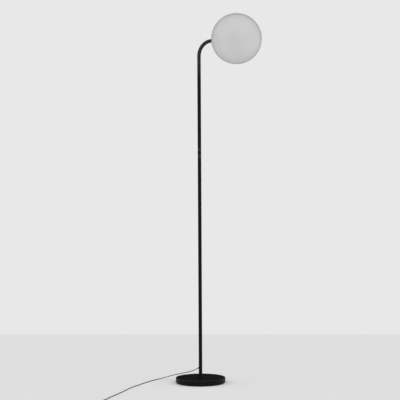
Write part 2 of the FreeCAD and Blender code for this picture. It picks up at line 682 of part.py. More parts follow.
def led_heatsink():
    """Plate and core with fins all round, bored for the stem and for the lead."""
    r = SINK_DIA / 2
    fin_end = SINK_END_X - SINK_PLATE / 2
    fin = block(SINK_CORE_DIA / 2 - 1, r + 1, -FIN_THICK / 2, FIN_THICK / 2, SINK_X, fin_end)
    fins = round_about_z(fin, SINK_FINS)
    body = rod(SINK_CORE_DIA / 2, SINK_X, fin_end).fuse(fins).common(rod(r, SINK_X, fin_end))
    body = body.fuse(rod(r, SINK_END_X - SINK_PLATE, SINK_END_X)).removeSplitter()
    stem_hole = rod(STEM_DIA / 2 + FIT, SINK_X, SINK_X + STEM_GRIP)
    lead_hole = rod(POLE_LEAD_DIA / 2 + 4 * FIT, SINK_X, SINK_END_X)
    holes = screw_rods(SCREW_DIA / 2 + FIT, SINK_END_X - SCREW_LENGTH, SINK_END_X)
    return onto_arm(body.cut([stem_hole, lead_hole] + holes))


def led_board():
    """Round metal board with a circle of light-emitting chips."""
    low, top = SINK_END_X, SINK_END_X + LED_BOARD_THICK
    board = rod(LED_BOARD_DIA / 2, low, top)
    half, place = LED_CHIP_SIZE / 2, LED_CHIP_CIRCLE_DIA / 2
    chip = block(place - half, place + half, -half, half, top, top + LED_CHIP_HEIGHT)
    board = board.fuse(round_about_z(chip, LED_CHIPS, 15.0)).removeSplitter()
    return onto_arm(board.cut(screw_rods(SCREW_DIA / 2 + EASE, low, top)))


def board_screws():
    top = SINK_END_X + LED_BOARD_THICK
    shanks = screw_rods(SCREW_DIA / 2, SINK_END_X - SCREW_LENGTH, top)
    heads = screw_rods(SCREW_HEAD_DIA / 2, top, top + SCREW_HEAD_HEIGHT)
    return onto_arm(group([shank.fuse(head).removeSplitter() for shank, head in zip(shanks, heads)]))


def led_dome():
    """Moulded diffuser: a skirt over the heat sink's plate and a low crown over the chips."""
    inner, wall = SINK_DIA / 2 + EASE, DOME_WALL
    skirt = SINK_END_X - SINK_PLATE + 0.5
    top = SINK_END_X + DOME_HEIGHT
    shoulder = top - DOME_CROWN
    crown_r = inner - DOME_CROWN
    return onto_arm(turned([
        (inner, skirt), (inner + wall, skirt), (inner + wall, shoulder), (crown_r + wall, top), (0, top),
        (0, top - wall), (crown_r, top - wall), (inner, shoulder - wall / 2),
    ]))


# ---- supply lead -----------------------------------------------------------------
def droop_direction():
    """The way the strain relief points: back from the pole and down."""
    angle = math.radians(CORD_DROOP)
    return Vector(-math.cos(angle), 0, -math.sin(angle))


def relief_root():
    """Where the strain relief's tapered tail starts, at the pole's surface."""
    return Vector(-TUBE_R - RELIEF_FLANGE_THICK / 2, 0, CORD_HEIGHT)


def cord_relief():
    """Moulded strain relief: flange inside the tube, neck, flange shaped to the tube, and a ringed tail."""
    back = Vector(-1, 0, 0)
    neck_r, flange_r = RELIEF_NECK_DIA / 2, RELIEF_FLANGE_DIA / 2
    inner_face = POLE_LEAD_TURN
    neck = Part.makeCylinder(neck_r, TUBE_R - inner_face + 0.5, Vector(-inner_face, 0, CORD_HEIGHT), back)
    inner_end = math.sqrt((BORE_R - FIT) ** 2 - flange_r ** 2)
    inner = Part.makeCylinder(flange_r, inner_end - inner_face, Vector(-inner_face, 0, CORD_HEIGHT), back)
    outer = Part.makeCylinder(flange_r, RELIEF_FLANGE_THICK + 3.0, Vector(-TUBE_R + 3.0, 0, CORD_HEIGHT), back)
    outer = outer.cut(rod(TUBE_R + FIT, CORD_HEIGHT - 2 * flange_r, CORD_HEIGHT + 2 * flange_r))
    way, root = droop_direction(), relief_root()
    tail = Part.makeCone(RELIEF_TAIL_DIA / 2, RELIEF_TIP_DIA / 2, RELIEF_TAIL, root, way)
    spacing = 2.6 * RELIEF_RING_WIDTH
    for k in range(RELIEF_RINGS):
        at = RELIEF_TAIL - 2.0 - k * spacing
        share = at / RELIEF_TAIL
        r = (RELIEF_TAIL_DIA * (1 - share) + RELIEF_TIP_DIA * share) / 2
        start = root + way * at
        band = Part.makeCylinder(r + 1, RELIEF_RING_WIDTH, start, way)
        tail = tail.cut(band.cut(Part.makeCylinder(r - RELIEF_RING_DEPTH, RELIEF_RING_WIDTH, start, way)))
    return neck.fuse([inner, outer, tail]).removeSplitter()


def coil_point(turn):
    """A point of the coil's centreline: in along the lower layer, up, and out along the upper one."""
    half_way = (COIL_TURNS + 0.25) / 2
    r = COIL_OUTER - COIL_PITCH * (half_way - abs(turn - half_way))
    climb = min(max((turn - half_way) / COIL_CLIMB + 0.5, 0.0), 1.0)
    rise = COIL_PITCH * climb * climb * (3 - 2 * climb)
    angle = math.radians(COIL_START) + 2 * math.pi * turn
    low = TIE_THICK + SOFT_GAP + CORD_R
    return Vector(COIL_X + r * math.cos(angle), COIL_Y + r * math.sin(angle), low + rise)


def coil_heading(turn):
    """The direction of the coil's centreline."""
    step = 0.02
    way = coil_point(turn + step) - coil_point(turn - step)
    if turn < step or turn > COIL_TURNS - step:
        way.z = 0
    return way.normalize()


def biarc(start, start_way, end, end_way):
    """Two arcs that join two points smoothly, leaving and arriving in the given directions."""
    chord = end - start
    both = start_way + end_way
    a = 2 * (1 - start_way.dot(end_way))
    b = 2 * chord.dot(both)
    c = -chord.dot(chord)
    reach = (-b + math.sqrt(b * b - 4 * a * c)) / (2 * a)
    left, right = start + start_way * reach, end - end_way * reach
    joint = (left + right) * 0.5
    return [arc_between(start, left, joint), arc_between(joint, right, end)]


def arc_between(start, corner, end):
    """The arc from start to end that is tangent to the lines through the corner."""
    to_start, to_end = start - corner, end - corner
    half = to_start.getAngle(to_end) / 2
    reach = to_start.Length
    middle = (to_start.normalize() + to_end.normalize()).normalize()
    centre = corner + middle * (reach / math.cos(half))
    r = reach * math.tan(half)
    return Part.Arc(start, centre - middle * r, end)


def cord_tube(edges, start, heading):
    """The cord's plain faceted tube along edges that join smoothly, its volume printed against its length."""
    side = heading.cross(Vector(0, 0, 1)).normalize()
    up = side.cross(heading).normalize()
    corners = []
    for k in range(CORD_SIDES + 1):
        angle = 2 * math.pi * (k + 0.5) / CORD_SIDES
        corners.append(start + side * (CORD_R * math.cos(angle)) + up * (CORD_R * math.sin(angle)))
    path = Part.Wire(edges)
    tube = path.makePipeShell([Part.makePolygon(corners)], True, False)
    section = CORD_SIDES / 2 * CORD_R ** 2 * math.sin(2 * math.pi / CORD_SIDES)
    print("cord length %.1f mm, volume / (section x length) %.4f" % (path.Length, tube.Volume / section / path.Length))
    return tube


def cord_route():
    """All the corners of the free lead's route, from the strain relief's tip to the coil."""
    tip = relief_root() + droop_direction() * RELIEF_TAIL
    coil_start, way = coil_point(0), coil_heading(0)
    join = coil_start - way * CORD_DIA
    floor = CORD_R + CORD_FLOOR_GAP
    lead_out = tip + droop_direction() * CORD_LEAD_OUT
    route = [tip, lead_out] + [Vector(*p) for p in AIR_ROUTE] + [Vector(x, y, floor) for x, y in FLOOR_ROUTE]
    return route + [join - way * 42.0 + Vector(-1.2, 0, floor - join.z), join - way * 20.0, join]


def supply_cord():
    """The lead from the strain relief to the coil: straight runs joined by arcs as large as the runs allow."""
    route = cord_route()
    edges, radii, here = [], [], route[0]
    for before, corner, after in zip(route, route[1:], route[2:]):
        back, ahead = before - corner, after - corner
        half_turn = (math.pi - back.getAngle(ahead)) / 2
        reach = 0.45 * min(back.Length, ahead.Length)
        radii.append(reach / math.tan(half_turn))
        enter, leave = corner + back.normalize() * reach, corner + ahead.normalize() * reach
        edges.append(Part.makeLine(here, enter))
        edges.append(arc_between(enter, corner, leave).toShape())
        here = leave
    edges.append(Part.makeLine(here, route[-1]))
    runs = [(b - a).Length for a, b in zip(route, route[1:])]
    print("cord runs", ["%.0f" % run for run in runs])
    print("cord bend radii", ["%.0f" % r for r in radii])
    return cord_tube(edges, route[0], (route[1] - route[0]).normalize())


def cord_coil():
    """The lead that is put away: one unbroken tube wound in two layers, its ends straight."""
    steps = round(4 * COIL_TURNS)
    start, end = coil_point(0), coil_point(COIL_TURNS)
    lead_in = start - coil_heading(0) * CORD_DIA
    edges = [Part.makeLine(lead_in, start)]
    for k in range(steps):
        t0, t1 = k / 4, (k + 1) / 4
        for arc in biarc(coil_point(t0), coil_heading(t0), coil_point(t1), coil_heading(t1)):
            edges.append(arc.toShape())
    edges.append(Part.makeLine(end, end + coil_heading(COIL_TURNS) * COIL_EXIT_RUN))
    print("coil least gap %.2f mm" % coil_gap(edges))
    return cord_tube(edges, lead_in, coil_heading(0))


def coil_gap(edges):
    """The least gap between turns of the coil, measured on points of its centreline."""
    points, places, travelled = [], [], 0.0
    for edge in edges:
        count = 12
        for k in range(count):
            points.append(edge.valueAt(edge.FirstParameter + (edge.LastParameter - edge.FirstParameter) * k / count))
            places.append(travelled + edge.Length * k / count)
        travelled += edge.Length
    far_along = 2.5 * COIL_OUTER
    least = min(
        (points[i] - points[j]).Length
        for i in range(len(points)) for j in range(i) if places[i] - places[j] > far_along
    )
    return least - CORD_DIA


def cord_tie():
    """Soft tie round the coil's bundle, its underside on the floor."""
    half_way = (COIL_TURNS + 0.25) / 2
    inner = COIL_OUTER - COIL_PITCH * half_way - CORD_R - TIE_THICK - 3 * SOFT_GAP
    outer = COIL_OUTER + CORD_R + TIE_THICK + SOFT_GAP
    height = 2 * TIE_THICK + 2 * SOFT_GAP + CORD_DIA + COIL_PITCH

    def loop(shrink):
        """A rounded bar through the tie, smaller by shrink on each side."""
        bar = block(inner + shrink, outer - shrink, -TIE_WIDTH / 2, TIE_WIDTH / 2, shrink, height - shrink)
        corners = [e for e in bar.Edges if abs(e.tangentAt(e.FirstParameter).y) > 0.9]
        return bar.makeFillet(TIE_ROUND - shrink / 2, corners)

    tie = loop(0).cut(loop(TIE_THICK))
    tie.rotate(Vector(0, 0, 0), Vector(0, 0, 1), TIE_ANGLE)
    tie.translate(Vector(COIL_X, COIL_Y, 0))
    return tie


# ---- plug-in adapter -------------------------------------------------------------
def adapter_axis_height():
    """The height of the lead's axis where it enters the adapter, on the coil's upper layer."""
    return coil_point(COIL_TURNS).z


def placed(shape):
    """Moves a shape made along +X from the lead's end to its place on the floor beside the coil."""
    way = coil_heading(COIL_TURNS)
    at = coil_point(COIL_TURNS) + way * COIL_EXIT_RUN
    moved = shape.copy()
    moved.rotate(Vector(0, 0, 0), Vector(0, 0, 1), math.degrees(math.atan2(way.y, way.x)))
    moved.translate(Vector(at.x, at.y, 0))
    return moved


def case_bar(start, end, shrink):
    """A bar of the adapter's rounded section, smaller by shrink on each side."""
    half = ADAPTER_WIDTH / 2 - shrink
    bar = block(start, end, -half, half, shrink, ADAPTER_HEIGHT - shrink)
    long_edges = [e for e in bar.Edges if abs(e.tangentAt(e.FirstParameter).x) > 0.9]
    return bar.makeFillet(ADAPTER_ROUND - shrink, long_edges)


def adapter_shell():
    """Moulded case, open at the pin end, with a hole for the lead's strain relief."""
    start, end = ADAPTER_TAIL, ADAPTER_TAIL + ADAPTER_LENGTH
    shell = case_bar(start, end, 0).cut(case_bar(start + ADAPTER_WALL, end + 1, ADAPTER_WALL))
    height = adapter_axis_height()
    hole = Part.makeCylinder(RELIEF_NECK_DIA / 2 + FIT, ADAPTER_TAIL, Vector(start - 1, 0, height), Vector(1, 0, 0))
    return placed(shell.cut(hole))


def adapter_relief():
    """The adapter's strain relief, tapering towards the lead and clipped in the case's wall."""
    height, ahead = adapter_axis_height(), Vector(1, 0, 0)
    wall_start, wall_end = ADAPTER_TAIL, ADAPTER_TAIL + ADAPTER_WALL
    tail = Part.makeCone(CORD_R + 0.7, ADAPTER_TAIL_DIA / 2, wall_start, Vector(0, 0, height), ahead)
    neck = Part.makeCylinder(RELIEF_NECK_DIA / 2, wall_end, Vector(0, 0, height), ahead)
    flange = Part.makeCylinder(ADAPTER_TAIL_DIA / 2, 1.4, Vector(wall_end, 0, height), ahead)
    neck = neck.common(block(wall_start - 1, wall_end, -9, 9, 0, ADAPTER_HEIGHT))
    return placed(tail.fuse([neck, flange]).removeSplitter())


def pin_rods(r, start, end):
    """Rods along +X at the places of the two plug pins."""
    rods = []
    for side in (-1, 1):
        foot = Vector(start, side * PIN_SPACING / 2, ADAPTER_HEIGHT / 2)
        rods.append(Part.makeCylinder(r, end - start, foot, Vector(1, 0, 0)))
    return rods


def adapter_cap():
    """End plate with a lip inside the case and holes for the pins."""
    start = ADAPTER_TAIL + ADAPTER_LENGTH
    lip_outer = case_bar(start - ADAPTER_LIP, start, ADAPTER_WALL + EASE)
    lip = lip_outer.cut(case_bar(start - ADAPTER_LIP - 1, start, ADAPTER_WALL + EASE + 1.5))
    plate = case_bar(start, start + ADAPTER_CAP_THICK, 0)
    return placed(plate.fuse(lip).cut(pin_rods(PIN_DIA / 2 + FIT, start - 9, start + 9)))


def plug_pins():
    start = ADAPTER_TAIL + ADAPTER_LENGTH + ADAPTER_CAP_THICK
    pins = []
    for pin in pin_rods(PIN_DIA / 2, start - PIN_SUNK, start + PIN_PROUD):
        tip = [e for e in pin.Edges if e.BoundBox.XMin > start + PIN_PROUD - 0.1]
        pins.append(pin.makeChamfer(PIN_CHAMFER, tip))
    return placed(group(pins))


def adapter_board():
    """Circuit board gripped between the case's walls, with its transformer and two capacitors."""
    end = ADAPTER_TAIL + ADAPTER_LENGTH - PIN_SUNK + ADAPTER_CAP_THICK - 0.5
    half = ADAPTER_WIDTH / 2 - ADAPTER_WALL - EASE
    top = PCB_HEIGHT + PCB_THICK
    board = block(end - PCB_LENGTH, end, -half, half, PCB_HEIGHT, top)
    board = board.cut(block(end - PCB_LENGTH, end - PCB_LENGTH + 4, -5, 5, 0, ADAPTER_HEIGHT))
    transformer = block(end - 28, end - 14, -8, 8, top, ADAPTER_HEIGHT - ADAPTER_WALL - 1)
    capacitors = [rod(3.2, top, top + 8, end - 7, 6), rod(2.6, top, top + 7, end - 33, -7)]
    return placed(board.fuse([transformer] + capacitors).removeSplitter())


NODES = {
    "base_pad": base_pad,
    "base_cover": base_cover,
    "base_weight": base_weight,
    "foot_washer": foot_washer,
    "foot_bolt": foot_bolt,
    "foot_insert": foot_insert,
    "foot_collar": foot_collar,
    "lower_tube": lower_tube,
    "upper_tube": upper_tube,
    "pole_lead": pole_lead,
    "lower_ferrule": lower_ferrule,
    "upper_ferrule": upper_ferrule,
    "dimmer_spindle": dimmer_spindle,
    "glide_washer": glide_washer,
    "lower_bush": lower_bush,
    "upper_bush": upper_bush,
    "sensor_board": sensor_board,
    "sensor_lead": sensor_lead,
    "ring_magnet": ring_magnet,
    "friction_ring": friction_ring,
    "dimmer_ring": dimmer_ring,
    "stop_pin": stop_pin,
    "dimmer_board": dimmer_board,
    "arm_insert": arm_insert,
    "globe_cap": globe_cap,
    "globe_gasket": globe_gasket,
    "globe": globe,
    "globe_clips": globe_clips,
    "clip_rivets": clip_rivets,
    "cap_washer": cap_washer,
    "cap_nut": cap_nut,
    "led_stem": led_stem,
    "led_heatsink": led_heatsink,
    "led_board": led_board,
    "board_screws": board_screws,
    "led_dome": led_dome,
    "cord_relief": cord_relief,
    "supply_cord": supply_cord,
    "cord_coil": cord_coil,
    "cord_tie": cord_tie,
    "adapter_relief": adapter_relief,
    "adapter_shell": adapter_shell,
    "adapter_cap": adapter_cap,
    "plug_pins": plug_pins,
    "adapter_board": adapter_board,
}


def main():
    os.makedirs("parts", exist_ok=True)
    for name, make in NODES.items():
        shape = make()
        shape.exportStep("parts/%s.step" % name)
        sound = all(s.isValid() for s in shape.Solids)
        print("%-16s %d solid(s) %12.1f mm3 %s" % (name, len(shape.Solids), shape.Volume, "" if sound else "NOT VALID"))


main()
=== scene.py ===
"""Globe floor lamp: its finishes, its supply lead, its blown globe and the studio round it.

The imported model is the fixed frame. This file dresses every carried-over piece with a
procedural finish, makes the flexible and blown pieces in place of their plain solids,
and sets up the floor, the light and the camera. All sizes are in metres.
"""
import json
import logging
import math
from dataclasses import dataclass, field
from enum import Enum
from typing import Union

import bpy
from mathutils import Matrix, Vector


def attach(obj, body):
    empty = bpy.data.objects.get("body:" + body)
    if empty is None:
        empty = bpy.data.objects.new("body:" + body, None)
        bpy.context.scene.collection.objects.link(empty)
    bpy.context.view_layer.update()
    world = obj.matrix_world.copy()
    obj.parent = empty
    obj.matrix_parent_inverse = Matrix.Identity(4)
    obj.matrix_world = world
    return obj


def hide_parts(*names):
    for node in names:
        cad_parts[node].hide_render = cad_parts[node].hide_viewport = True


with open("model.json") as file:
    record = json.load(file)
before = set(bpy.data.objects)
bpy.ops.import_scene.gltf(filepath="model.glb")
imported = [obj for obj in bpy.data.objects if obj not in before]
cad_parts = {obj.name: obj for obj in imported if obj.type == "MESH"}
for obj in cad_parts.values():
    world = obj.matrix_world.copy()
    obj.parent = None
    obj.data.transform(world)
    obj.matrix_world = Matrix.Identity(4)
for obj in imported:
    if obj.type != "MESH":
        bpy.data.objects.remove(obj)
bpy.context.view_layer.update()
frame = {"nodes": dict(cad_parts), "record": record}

log = logging.getLogger("globe_floor_lamp")

Colour = tuple[float, float, float]
Point = tuple[float, float, float]
Input = Union[bpy.types.NodeSocket, float, tuple]

STAND = "stand"
ARM_HEIGHT = 1.720
ARM_REACH = 0.215
FOOT_HEIGHT = 0.028
# heights where the painted highlight on the top of the pole begins and where it is full
PAINTED_TOP_FROM, PAINTED_TOP_FULL = 1.53, 1.61
# bands of upward normal and the height limit that place the painted highlight on the foot's rounded top edge
EDGE_STARTS, EDGE_ENDS = (0.10, 0.45), (0.90, 0.995)
ABOVE_FOOT = 0.0005
DUST_COLOUR = (0.35, 0.34, 0.33)
DUST_SIZE = 0.0012
AT_AXIS = 1e-6


# ---------------------------------------------------------------- node graphs
class Graph:
    """The node tree of one material, with short ways to add and join its nodes."""

    def __init__(self, name: str) -> None:
        """Starts an empty tree.

        Args:
            name: The material's name.
        """
        self.material = bpy.data.materials.new(name)
        self.material.use_nodes = True
        self.tree = self.material.node_tree
        self.tree.nodes.clear()
        self.place = self.add("TexCoord").outputs["Object"]

    def add(self, kind: str, inputs: dict | None = None, **settings: object) -> bpy.types.Node:
        """Adds a node.

        Args:
            kind: The node's type without its "ShaderNode" start.
            inputs: Values or output sockets for the node's inputs, by name or place.
            settings: The node's own settings, such as an operation.

        Returns:
            The new node.
        """
        node = self.tree.nodes.new("ShaderNode" + kind)
        for name, value in settings.items():
            setattr(node, name, value)
        for name, value in (inputs or {}).items():
            self.feed(node.inputs[name], value)
        return node

    def feed(self, socket: bpy.types.NodeSocket, value: Input) -> None:
        """Links or sets one input.

        Args:
            socket: The input.
            value: An output socket, a number, or a colour or vector.
        """
        if isinstance(value, bpy.types.NodeSocket):
            self.tree.links.new(value, socket)
        elif socket.type == "RGBA":
            socket.default_value = (*value[:3], 1.0)
        else:
            socket.default_value = value

    def math(self, operation: str, a: Input, b: Input = 0.0) -> bpy.types.NodeSocket:
        """One arithmetic step.

        Args:
            operation: The step, such as "MULTIPLY".
            a: The first value or socket.
            b: The second value or socket.

        Returns:
            The result's socket.
        """
        return self.add("Math", {0: a, 1: b}, operation=operation).outputs[0]

    def span(
        self, value: Input, low: float, high: float, start: float = 0.0, end: float = 1.0,
    ) -> bpy.types.NodeSocket:
        """Maps a value from one range to another, clamped.

        Args:
            value: The socket to map.
            low: The result at start.
            high: The result at end.
            start: The value that gives low.
            end: The value that gives high.

        Returns:
            The mapped value's socket.
        """
        inputs = {0: value, 1: start, 2: end, 3: low, 4: high}
        return self.add("MapRange", inputs).outputs[0]

    def stretched(self, scale: Point) -> bpy.types.NodeSocket:
        """The place on the object, stretched along the axes.

        Args:
            scale: The factor along X, Y and Z.

        Returns:
            The vector's socket.
        """
        return self.add("Mapping", {"Vector": self.place, "Scale": scale}).outputs[0]

    def noise(
        self, size: float, detail: float = 2.0, place: bpy.types.NodeSocket | None = None,
    ) -> bpy.types.NodeSocket:
        """Soft noise with features of a real size.

        Args:
            size: The features' size in metres.
            detail: The number of finer layers.
            place: The vector to read it at, or None for the object's own place.

        Returns:
            The noise's socket, around a half.
        """
        inputs = {"Vector": place or self.place, "Scale": 1.0 / size, "Detail": detail, "Roughness": 0.55}
        return self.add("TexNoise", inputs).outputs["Fac"]

    def cells(self, size: float, feature: str = "F1") -> bpy.types.NodeSocket:
        """Rounded cells with a real size.

        Args:
            size: The cells' size in metres.
            feature: Which distance is read.

        Returns:
            The distance's socket.
        """
        inputs = {"Vector": self.place, "Scale": 1.0 / size}
        return self.add("TexVoronoi", inputs, feature=feature).outputs["Distance"]

    def mix(self, share: Input, first: Input, second: Input) -> bpy.types.NodeSocket:
        """Blends two colours.

        Args:
            share: How much of the second there is.
            first: The first colour or socket.
            second: The second colour or socket.

        Returns:
            The blended colour's socket.
        """
        node = self.add("Mix", data_type="RGBA")
        self.feed(node.inputs[0], share)
        self.feed(node.inputs[6], first)
        self.feed(node.inputs[7], second)
        return node.outputs[2]

    def bump(self, height: bpy.types.NodeSocket, depth: float) -> bpy.types.NodeSocket:
        """Relief from a height.

        Args:
            height: The height's socket, from 0 to 1.
            depth: The relief's depth in metres.

        Returns:
            The normal's socket.
        """
        return self.add("Bump", {"Height": height, "Distance": depth, "Strength": 1.0}).outputs[0]

    def finish(self, shader: bpy.types.Node) -> bpy.types.Material:
        """Joins the last shader to the output.

        Args:
            shader: The shader node.

        Returns:
            The finished material.
        """
        output = self.add("OutputMaterial")
        self.tree.links.new(shader.outputs[0], output.inputs["Surface"])
        return self.material


# ---------------------------------------------------------------- finishes
class Grain(Enum):
    """The kinds of fine relief that the lamp's surfaces have."""

    PEEL = "sprayed coat"
    TURNED = "lathe lines"
    DRAWN = "lines along the length"
    SPARK = "moulded skin"
    CAST = "sand-cast skin"
    FOAM = "closed cells"
    SMOOTH = "drawn or moulded smooth"


class Axis(Enum):
    """The axes that pieces were turned about."""

    POLE = "pole"
    ARM = "arm"


@dataclass(frozen=True)
class Finish:
    """A surface finish: colour, gloss and relief at their real scale."""

    name: str
    colour: Colour
    roughness: float
    grain: Grain = Grain.SMOOTH
    grain_size: float = 0.0004
    grain_depth: float = 0.00001
    metal: float = 0.0
    shade: float = 0.12
    cloud: float = 0.030
    gloss_drift: float = 0.03
    specular: float = 0.5
    coat: float = 0.0
    axis: Axis = Axis.POLE
    dust: float = 0.0
    # tone of the painted highlight on the foot's rounded top edge
    pale_edge: float = 0.0
    # tone of the painted highlight on the top of the pole and the bend
    pale_top: float = 0.0

    def turned_way(self, graph: Graph) -> bpy.types.NodeSocket:
        """Distance along and out from the turning axis, which lathe lines follow.

        Args:
            graph: The material's graph.

        Returns:
            The distance's socket.
        """
        parts = graph.add("SeparateXYZ", {0: graph.place}).outputs
        if self.axis is Axis.POLE:
            along, across = parts[2], (parts[0], parts[1], 0.0)
        else:
            along, across = parts[0], (parts[1], graph.math("SUBTRACT", parts[2], ARM_HEIGHT), 0.0)
        flat = graph.add("CombineXYZ", dict(enumerate(across))).outputs[0]
        out = graph.add("VectorMath", {0: flat}, operation="LENGTH").outputs["Value"]
        return graph.math("ADD", along, out)

    def relief(self, graph: Graph) -> bpy.types.NodeSocket:
        """The height of the grain.

        Args:
            graph: The material's graph.

        Returns:
            The height's socket.
        """
        size = self.grain_size
        if self.grain is Grain.PEEL:
            fine = graph.noise(size, 2.0)
            return graph.math("ADD", fine, graph.math("MULTIPLY", graph.noise(4 * size, 1.0), 1.5))
        if self.grain is Grain.TURNED:
            inputs = {"W": self.turned_way(graph), "Scale": 1.0 / size, "Detail": 3.0}
            return graph.add("TexNoise", inputs, noise_dimensions="1D").outputs["Fac"]
        if self.grain is Grain.DRAWN:
            return graph.noise(size, 3.0, graph.stretched((1.0, 1.0, 0.03)))
        if self.grain is Grain.SPARK:
            return graph.math("ADD", graph.cells(size), graph.noise(1.7 * size, 3.0))
        if self.grain is Grain.CAST:
            return graph.math("ADD", graph.noise(size, 6.0), graph.cells(3 * size, "SMOOTH_F1"))
        if self.grain is Grain.FOAM:
            return graph.cells(size)
        return graph.noise(20 * size, 1.0)

    def tint(self, graph: Graph) -> bpy.types.NodeSocket:
        """The colour with its slight clouds, its painted highlights on the foot's top edge and on the top of
        the pole, and dust where the surface faces up.

        Args:
            graph: The material's graph.

        Returns:
            The colour's socket.
        """
        low = tuple(c * (1 - self.shade) for c in self.colour)
        high = tuple(min(1.0, c * (1 + self.shade)) for c in self.colour)
        clouds = graph.span(graph.noise(self.cloud, 3.0), 0.0, 1.0, 0.3, 0.7)
        colour = graph.mix(clouds, low, high)
        up = graph.add("SeparateXYZ", {0: graph.add("NewGeometry").outputs["Normal"]}).outputs[2]
        # painted highlights: the foot's top edge and the top of the pole are made lighter in colour, standing
        # in for light
        if self.pale_edge > 0:
            colour = graph.mix(self.edge_of_foot(graph, up), colour, (self.pale_edge,) * 3)
        if self.pale_top > 0:
            colour = graph.mix(self.top_of_pole(graph), colour, (self.pale_top,) * 3)
        if self.dust <= 0:
            return colour
        facing = graph.span(up, 0.0, self.dust, 0.6, 1.0)
        specks = graph.span(graph.noise(DUST_SIZE, 6.0), 0.25, 1.0, 0.35, 0.7)
        return graph.mix(graph.math("MULTIPLY", facing, specks), colour, DUST_COLOUR)

    def edge_of_foot(self, graph: Graph, up: bpy.types.NodeSocket) -> bpy.types.NodeSocket:
        """How far a point is on the rounded top edge of the foot, where the coat is painted lighter as a
        highlight.

        Args:
            graph: The material's graph.
            up: The upward part of the surface's direction.

        Returns:
            The share's socket, 1 in the middle of the edge.
        """
        # painted highlight: marks the rounded top edge of the foot, which is painted lighter
        above_side, below_top = graph.span(up, 0.0, 1.0, *EDGE_STARTS), graph.span(up, 1.0, 0.0, *EDGE_ENDS)
        round_part = graph.math("MULTIPLY", above_side, below_top)
        height = graph.add("SeparateXYZ", {0: graph.place}).outputs[2]
        return graph.math("MULTIPLY", round_part, graph.math("LESS_THAN", height, FOOT_HEIGHT + ABOVE_FOOT))

    def top_of_pole(self, graph: Graph) -> bpy.types.NodeSocket:
        """How far a point is into the top of the pole and the bend, where the coat is painted lighter as a
        highlight.

        Args:
            graph: The material's graph.

        Returns:
            The share's socket, 1 at the bend.
        """
        # painted highlight: the coat gets lighter with height towards the bend
        height = graph.add("SeparateXYZ", {0: graph.place}).outputs[2]
        return graph.span(height, 0.0, 1.0, PAINTED_TOP_FROM, PAINTED_TOP_FULL)

    def shader(self, graph: Graph) -> bpy.types.Node:
        """The main shader of the finish.

        Args:
            graph: The material's graph.

        Returns:
            The shader node.
        """
        drift = self.gloss_drift
        clouds = graph.noise(0.6 * self.cloud, 3.0)
        gloss = graph.span(clouds, self.roughness - drift, self.roughness + drift, 0.3, 0.7)
        node = graph.add("BsdfPrincipled", {
            "Base Color": self.tint(graph),
            "Roughness": gloss,
            "Metallic": self.metal,
            "Normal": graph.bump(self.relief(graph), self.grain_depth),
        })
        node.inputs["Specular IOR Level"].default_value = self.specular
        node.inputs["Coat Weight"].default_value = self.coat
        return node

    def build(self) -> bpy.types.Material:
        """Makes the finish's material."""
        graph = Graph(self.name)
        return graph.finish(self.shader(graph))


@dataclass(frozen=True)
class OpalGlass(Finish):
    """Blown opal glass: white body, some light and sight through it, and a dark-tinted gloss at its rim that
    paints shade there.
    """

    through: float = 0.34
    clear: float = 0.36
    # the rim's gloss: a real reflection, tinted dark so that it paints shade on the globe's rim
    skin: Colour = (0.28, 0.28, 0.28)
    skin_roughness: float = 0.18
    skin_edge: float = 3.5
    skin_share: float = 0.62

    def shader(self, graph: Graph) -> bpy.types.Node:
        """White body, light that seeps through, a trace of clear sight, and the rim's dark-tinted gloss,
        which paints shade on the rim.

        Args:
            graph: The material's graph.

        Returns:
            The mixed shader node.
        """
        ripple = graph.bump(graph.noise(0.045, 1.0), 0.00012)
        body = graph.add("BsdfPrincipled", {
            "Base Color": self.tint(graph), "Roughness": self.roughness, "Normal": ripple,
        })
        body.inputs["Specular IOR Level"].default_value = self.specular
        seep = graph.add("BsdfTranslucent", {"Color": self.colour, "Normal": ripple})
        lit = graph.add("MixShader", {0: self.through, 1: body.outputs[0], 2: seep.outputs[0]})
        film = graph.add("BsdfTransparent", {"Color": (0.95, 0.95, 0.95)})
        glass = graph.add("MixShader", {0: self.clear, 1: lit.outputs[0], 2: film.outputs[0]})
        # painted shade: a gloss tinted dark is mixed in towards the rim, so the rim reads darker; the
        # reflection itself is real
        gloss = graph.add("BsdfGlossy", {
            "Color": self.skin, "Roughness": self.skin_roughness, "Normal": ripple,
        })
        slant = graph.add("LayerWeight", {"Blend": 0.5}).outputs["Facing"]
        edge = graph.math("MULTIPLY", graph.math("POWER", slant, self.skin_edge), self.skin_share)
        return graph.add("MixShader", {0: edge, 1: glass.outputs[0], 2: gloss.outputs[0]})


@dataclass(frozen=True)
class Frosted(Finish):
    """Moulded translucent plastic or rubber."""

    through: float = 0.4

    def shader(self, graph: Graph) -> bpy.types.Node:
        """A dull skin mixed with light that seeps through.

        Args:
            graph: The material's graph.

        Returns:
            The mixed shader node.
        """
        body = super().shader(graph)
        seep = graph.add("BsdfTranslucent", {"Color": self.colour})
        return graph.add("MixShader", {0: self.through, 1: body.outputs[0], 2: seep.outputs[0]})


@dataclass(frozen=True)
class WovenTape(Finish):
    """Woven tape: warp and weft crossing at a real pitch, with loose fibre sheen."""

    pitch: float = 0.0007

    def relief(self, graph: Graph) -> bpy.types.NodeSocket:
        """Warp and weft, each over the other in turn.

        Args:
            graph: The material's graph.

        Returns:
            The height's socket.
        """
        check = graph.add("TexChecker", {"Vector": graph.place, "Scale": 1.0 / self.pitch}).outputs["Fac"]
        return graph.math("ADD", check, graph.noise(0.4 * self.pitch, 4.0))

    def shader(self, graph: Graph) -> bpy.types.Node:
        """The plain shader with a fibre sheen.

        Args:
            graph: The material's graph.

        Returns:
            The shader node.
        """
        node = super().shader(graph)
        node.inputs["Sheen Weight"].default_value = 0.35
        node.inputs["Sheen Roughness"].default_value = 0.5
        return node


